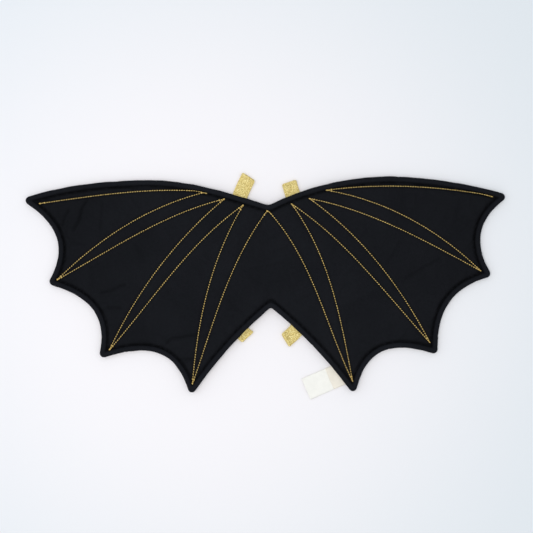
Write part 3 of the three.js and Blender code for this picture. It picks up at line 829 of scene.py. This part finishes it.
front_lines = [on_front(evenly(line, LINE_STEP)) for line in quilt_lines]
tacks = []
for line in quilt_lines:
    for end in (line, line[::-1]):
        for aside in (TACK_ASIDE, -TACK_ASIDE):
            tack = end[1:1 + TACK_SAMPLES] + np.array([aside, -aside])
            tacks.append(on_front(evenly(tack, LINE_STEP)) + [0, 0, TACK_LIFT])
gold = thread_material("gold thread", (0.24, 0.148, 0.034), (0.85, 0.59, 0.175), 0.42)
stitch = one_stitch("gold stitch", STITCH_LENGTH, THREAD_RADIUS, STITCH_ARCH, STITCH_SINK)
gold_quilting = sewn("gold_quilting", front_lines + tacks, stitch, STITCH_PITCH, 0.05, gold)
black = thread_material("black thread", (0.006, 0.0065, 0.008), (0.022, 0.023, 0.027), 0.5)
stitch = one_stitch("back stitch", STITCH_LENGTH, BACK_THREAD_RADIUS, -BACK_ARCH, -BACK_SINK)
back_lines = [on_back(evenly(line, BACK_LINE_STEP)) for line in quilt_lines]
back_quilting = sewn("back_quilting", back_lines, stitch, STITCH_PITCH, 0.04, black)
for piece in (gold_quilting, back_quilting):
    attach(piece, "root")

# The arm straps: gold glitter elastic, a band with both ends folded over and sewn to the back of the panel,
# so that only the two folds of each show past the wings.
STRAP_WIDTH = 0.022
STRAP_THICKNESS = 0.0012
LAYER_GAP = 0.0003
FOLD_RADIUS = 0.0012
FOLD_LIFT = 0.0005
FOLD_EASE = 0.008
FOLD_CORNER = 0.0016
SEWN_TOP = 0.060
SEWN_BOTTOM = 0.062
STRAP_STEP = 0.001
# Each strap: how far its top and its bottom fold lie askew, in degrees, and the points that it runs through.
strap_routes = {
    "strap_left": (9, 12, [
        (-0.0817, -0.0002), (-0.1172, 0.0871), (-0.1547, 0.2602), (-0.1843, 0.4326),
        (-0.1772, 0.5925), (-0.1046, 0.7291), (-0.0857, 0.7454),
    ]),
    "strap_right": (-2, 12, [
        (0.0865, 0.0253), (0.1011, 0.0792), (0.1513, 0.2491), (0.1914, 0.4173),
        (0.1905, 0.5748), (0.1174, 0.7126), (0.0713, 0.7616),
    ]),
}


def smooth_route(turns):
    turns = np.array([on_cloth(*turn) for turn in turns]) + shift
    turns = np.vstack([2 * turns[0] - turns[1], turns, 2 * turns[-1] - turns[-2]])
    line = []
    for p0, p1, p2, p3 in zip(turns, turns[1:], turns[2:], turns[3:]):
        d0, d1, d2 = (np.linalg.norm(b - a) ** 0.5 for a, b in ((p0, p1), (p1, p2), (p2, p3)))
        lead = ((p1 - p0) / d0 - (p2 - p0) / (d0 + d1) + (p2 - p1) / d1) * d1
        trail = ((p2 - p1) / d1 - (p3 - p1) / (d1 + d2) + (p3 - p2) / d2) * d1
        t = np.linspace(0, 1, 60)[:-1, None]
        bend = (-3 * p1 + 3 * p2 - 2 * lead - trail) * t**2 + (2 * p1 - 2 * p2 + lead + trail) * t**3
        line.append(p1 + lead * t + bend)
    line.append(turns[-2][None])
    return evenly(np.vstack(line), SAMPLE)


def folded_end(sewn_length):
    low_layer = STRAP_THICKNESS / 2
    high_layer = low_layer + STRAP_THICKNESS + LAYER_GAP
    middle = low_layer + FOLD_LIFT + FOLD_RADIUS
    upper = [(along, high_layer) for along in np.arange(sewn_length, FOLD_EASE, -STRAP_STEP)]
    shares = np.linspace(0, 1, 9)[:-1]
    easing = FOLD_EASE + (FOLD_RADIUS - FOLD_EASE) * shares
    rising = zip(easing, high_layer + (middle + FOLD_RADIUS - high_layer) * smooth(shares, 0, 1))
    angles = np.linspace(math.pi / 2, 3 * math.pi / 2, 15)
    turn = zip(FOLD_RADIUS * (1 + np.cos(angles)), middle + FOLD_RADIUS * np.sin(angles))
    falling = zip(easing[::-1], (low_layer + (middle - FOLD_RADIUS - low_layer) * smooth(shares, 0, 1))[::-1])
    return np.array([*upper, *rising, *turn, *falling])


half = STRAP_WIDTH / 2 - STRAP_THICKNESS / 2
across_top = np.linspace(half, -half, 21)
edge_angles = np.linspace(math.pi / 2, 3 * math.pi / 2, 7)[1:-1]
band = [(y, STRAP_THICKNESS / 2) for y in across_top]
band += [(-half + STRAP_THICKNESS / 2 * math.cos(a), STRAP_THICKNESS / 2 * math.sin(a)) for a in edge_angles]
band += [(y, -STRAP_THICKNESS / 2) for y in across_top[::-1]]
band += [(half - STRAP_THICKNESS / 2 * math.cos(a), -STRAP_THICKNESS / 2 * math.sin(a)) for a in edge_angles]
band = np.array(band)


def strap(name, material):
    askew_top, askew_bottom, turns = strap_routes[name]
    ground = smooth_route(turns)
    length = (len(ground) - 1) * SAMPLE
    ahead = unit(np.gradient(ground, axis=0))
    top_end = folded_end(SEWN_TOP)
    bottom_end = folded_end(SEWN_BOTTOM)[::-1] * [-1, 1] + [length, 0]
    flat = np.arange(top_end[-1, 0] + STRAP_STEP, bottom_end[0, 0] - STRAP_STEP / 2, STRAP_STEP)
    side = np.vstack([top_end, np.column_stack([flat, np.full(len(flat), STRAP_THICKNESS / 2)]), bottom_end])
    facing = unit(np.gradient(side, axis=0))
    facing = np.stack([-facing[:, 1], facing[:, 0]], axis=1)
    vertices = []
    for (along, height), (face_along, face_up) in zip(side, facing):
        for across, out in band:
            spot = along + face_along * out
            inside_corner = FOLD_CORNER - np.clip(min(spot, length - spot), 0, FOLD_CORNER)
            across *= 1 - (FOLD_CORNER - math.sqrt(FOLD_CORNER**2 - inside_corner**2)) / STRAP_WIDTH * 2
            askew = askew_top * (1 - smooth(spot, 0, 4 * FOLD_EASE))
            askew += askew_bottom * (1 - smooth(length - spot, 0, 4 * FOLD_EASE))
            reached = spot + across * math.tan(math.radians(askew))
            sample = int(np.clip(round(reached / SAMPLE), 0, len(ground) - 1))
            forward = ahead[sample]
            x, y = ground[sample] + forward * (reached - sample * SAMPLE)
            vertices.append((x - forward[1] * across, y + forward[0] * across, height + face_up * out))
    count, round_band = len(side), len(band)
    faces = []
    for i in range(count - 1):
        for j in range(round_band):
            here, beside = i * round_band + j, i * round_band + (j + 1) % round_band
            faces.append((here, beside, beside + round_band, here + round_band))
    faces.append(tuple(range(round_band))[::-1])
    faces.append(tuple((count - 1) * round_band + j for j in range(round_band)))
    return new_mesh(name + "_elastic", vertices, faces, material)


elastic, nodes, links, shader, position = new_material("gold glitter elastic", 0.38)
# The grains get random tones from dark gold to near white: the near-white grains are painted glints, the
# others the glitter's own speckle.
grains = nodes.new("ShaderNodeTexVoronoi")
grains.inputs["Scale"].default_value = 1100
fine = nodes.new("ShaderNodeTexVoronoi")
fine.inputs["Scale"].default_value = 2200
blend = nodes.new("ShaderNodeMix")
blend.data_type = "RGBA"
blend.inputs["Factor"].default_value = 0.5
pick = nodes.new("ShaderNodeSeparateColor")
colour = nodes.new("ShaderNodeValToRGB")
colour.color_ramp.elements[0].position = 0.12
colour.color_ramp.elements[0].color = (0.36, 0.25, 0.042, 1)
colour.color_ramp.elements[1].position = 0.9
colour.color_ramp.elements[1].color = (1, 0.915, 0.465, 1)
middle_tone = colour.color_ramp.elements.new(0.5)
middle_tone.color = (0.73, 0.535, 0.152, 1)
shine = nodes.new("ShaderNodeMapRange")
shine.inputs["To Min"].default_value = 0.25
shine.inputs["To Max"].default_value = 0.6
bump = nodes.new("ShaderNodeBump")
bump.inputs["Distance"].default_value = 0.0004
bump.inputs["Strength"].default_value = 0.7
for start, end in (
    (position, grains.inputs["Vector"]),
    (position, fine.inputs["Vector"]),
    (grains.outputs["Color"], blend.inputs["A"]),
    (fine.outputs["Color"], blend.inputs["B"]),
    (blend.outputs["Result"], pick.inputs["Color"]),
    (pick.outputs["Red"], colour.inputs["Fac"]),
    (colour.outputs["Color"], shader.inputs["Base Color"]),
    (pick.outputs["Green"], shine.inputs["Value"]),
    (shine.outputs["Result"], shader.inputs["Roughness"]),
    (pick.outputs["Blue"], bump.inputs["Height"]),
    (bump.outputs["Normal"], shader.inputs["Normal"]),
):
    links.new(start, end)
shader.inputs["Metallic"].default_value = 0.2
for name in strap_routes:
    piece = strap(name, elastic)
    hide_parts(name)
    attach(piece, "root")

# The label: two bare leaves of satin ribbon caught in the right wing's lower seam, a short cream one over a
# longer white one, both lying on the floor with their free ends a little curled.
LABEL_THICKNESS = 0.0005
LABEL_GAP = 0.0003
LABEL_TURN = math.radians(15)
LABEL_CURL = 0.003
LEAF_START = -0.003
LABEL_FALL = 0.013
CARE_LEAF_LENGTH = 0.059
SHORT_LEAF_LENGTH = 0.0215
LEAF_STEP = 0.0012
LEAF_WAVE = 0.0005
LEAF_WAVE_PITCH = 0.02
seam_ahead = unit(label_seam[root_at + 1] - label_seam[root_at - 1])
leaf_out = turned(np.array([seam_ahead[1], -seam_ahead[0]]), -LABEL_TURN)
leaf_aside = np.array([-leaf_out[1], leaf_out[0]])


def satin(name, colour):
    material, nodes, links, shader, position = new_material(name, 0.42)
    shader.inputs["Sheen Weight"].default_value = 0.2
    weave = nodes.new("ShaderNodeTexWave")
    weave.wave_type = "BANDS"
    weave.bands_direction = "DIAGONAL"
    weave.inputs["Scale"].default_value = 900
    weave.inputs["Distortion"].default_value = 1.5
    tones = nodes.new("ShaderNodeTexNoise")
    tones.inputs["Scale"].default_value = 120
    tint = nodes.new("ShaderNodeMix")
    tint.data_type = "RGBA"
    tint.inputs["A"].default_value = (*[0.9 * c for c in colour], 1)
    tint.inputs["B"].default_value = (*colour, 1)
    bump = nodes.new("ShaderNodeBump")
    bump.inputs["Distance"].default_value = 0.00006
    links.new(position, weave.inputs["Vector"])
    links.new(position, tones.inputs["Vector"])
    links.new(tones.outputs["Fac"], tint.inputs["Factor"])
    links.new(tint.outputs["Result"], shader.inputs["Base Color"])
    links.new(weave.outputs["Fac"], bump.inputs["Height"])
    links.new(bump.outputs["Normal"], shader.inputs["Normal"])
    return material


def leaf(name, length, leaves_below, seed, material):
    across = np.linspace(-LABEL_WIDTH / 2, LABEL_WIDTH / 2, 25)
    outs = np.linspace(LEAF_START, LEAF_START + length, round(length / LEAF_STEP) + 1)
    grid = np.array([(out, aside) for out in outs for aside in across])
    out, aside = grid[:, 0], grid[:, 1]
    spots = label_root + out[:, None] * leaf_out + aside[:, None] * leaf_aside
    under_piping = rise(spots[:, 0]) - LABEL_GAP - LABEL_THICKNESS / 2 - (1 - leaves_below) * LABEL_PITCH
    on_floor = LABEL_THICKNESS / 2 + leaves_below * LABEL_PITCH
    height = under_piping + (on_floor - under_piping) * smooth(out, 0, LABEL_FALL)
    height += LABEL_CURL * smooth(out, 0.4 * CARE_LEAF_LENGTH, 1.3 * CARE_LEAF_LENGTH) ** 2
    free = smooth(out, PIPING_RADIUS, 2 * LABEL_FALL)
    height += LEAF_WAVE * free * (1 + soft_hills(grid, LEAF_WAVE_PITCH, seed) / 2)
    layers = [np.column_stack([spots, height + half * LABEL_THICKNESS / 2]) for half in (1, -1)]
    rows, columns, below = len(outs), len(across), len(grid)
    faces = []
    for i in range(rows - 1):
        for j in range(columns - 1):
            a = i * columns + j
            faces.append((a, a + columns, a + columns + 1, a + 1))
            faces.append((below + a, below + a + 1, below + a + columns + 1, below + a + columns))
    rim = list(range(columns))
    rim += [i * columns + columns - 1 for i in range(1, rows)]
    rim += [(rows - 1) * columns + j for j in range(columns - 2, -1, -1)]
    rim += [i * columns for i in range(rows - 2, 0, -1)]
    for start, end in zip(rim, rim[1:] + rim[:1]):
        faces.append((start, end, below + end, below + start))
    return new_mesh(name, np.vstack(layers), faces, material)


care_leaf = leaf("care_leaf", CARE_LEAF_LENGTH, 0, 21, satin("white satin", (0.97, 0.935, 0.855)))
short_leaf = leaf("short_leaf", SHORT_LEAF_LENGTH, 1, 22, satin("cream satin", (0.93, 0.85, 0.72)))
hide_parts("label_care_leaf")
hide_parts("label_short_leaf")
for piece, name in ((care_leaf, "label_white"), (short_leaf, "label_cream")):
    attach(piece, "root")

# The pale surface that the wings lie on, the soft studio light above it, and the camera that looks straight
# down on the wings.
LENS = 85
SENSOR = 36
IMAGE = 533
SPAN_IN_IMAGE = 479.7
MIDDLE_IN_IMAGE = 268.3
TOP_IN_IMAGE = 176.7
per_pixel = SPAN / SPAN_IN_IMAGE
floor_colour, nodes, links, shader, position = new_material("pale floor", 0.7)
# The floor's colour is painted darker and bluer away from the middle: painted shade for the fall-off of the
# studio light.
reach = nodes.new("ShaderNodeVectorMath")
reach.operation = "LENGTH"
outwards = nodes.new("ShaderNodeMapRange")
outwards.interpolation_type = "SMOOTHSTEP"
outwards.inputs["From Min"].default_value = 0.15
outwards.inputs["From Max"].default_value = 0.65
painted_floor_falloff = nodes.new("ShaderNodeMix")
painted_floor_falloff.data_type = "RGBA"
painted_floor_falloff.inputs["A"].default_value = (0.91, 0.863, 0.862, 1)
painted_floor_falloff.inputs["B"].default_value = (0.765, 0.785, 0.8, 1)
links.new(position, reach.inputs[0])
links.new(reach.outputs["Value"], outwards.inputs["Value"])
links.new(outwards.outputs["Result"], painted_floor_falloff.inputs["Factor"])
links.new(painted_floor_falloff.outputs["Result"], shader.inputs["Base Color"])
floor = new_mesh("floor", [(-3, -3, 0), (3, -3, 0), (3, 3, 0), (-3, 3, 0)], [(0, 1, 2, 3)], floor_colour)
floor.location = (-0.1, 0, -0.0002)
camera_data = bpy.data.cameras.new("camera")
camera_data.lens = LENS
camera_data.sensor_width = SENSOR
camera = bpy.data.objects.new("camera", camera_data)
bpy.context.scene.collection.objects.link(camera)
camera.location = (
    shift[0] + (IMAGE / 2 - MIDDLE_IN_IMAGE) * per_pixel,
    shift[1] - (IMAGE / 2 - TOP_IN_IMAGE) * per_pixel,
    IMAGE * per_pixel * LENS / SENSOR + PANEL_THICKNESS,
)
bpy.context.scene.camera = camera


def soft_light(name, location, size, power, colour):
    data = bpy.data.lights.new(name, "AREA")
    data.shape = "DISK"
    data.size = size
    data.energy = power
    data.color = colour
    lamp = bpy.data.objects.new(name, data)
    lamp.location = location
    lamp.rotation_euler = (-Vector(location)).to_track_quat("-Z", "Y").to_euler()
    bpy.context.scene.collection.objects.link(lamp)


soft_light("key light", (-0.35, -0.1, 2.2), 1.2, 15, (1, 0.965, 0.92))
soft_light("fill light", (-1.5, 0.5, 1.2), 1.2, 3, (0.7, 0.83, 1))
world = bpy.data.worlds.new("studio")
world.use_nodes = True
world.node_tree.nodes["Background"].inputs["Color"].default_value = (0.88, 0.94, 1, 1)
world.node_tree.nodes["Background"].inputs["Strength"].default_value = 0.82
bpy.context.scene.world = world
bpy.context.scene.view_settings.view_transform = "Standard"
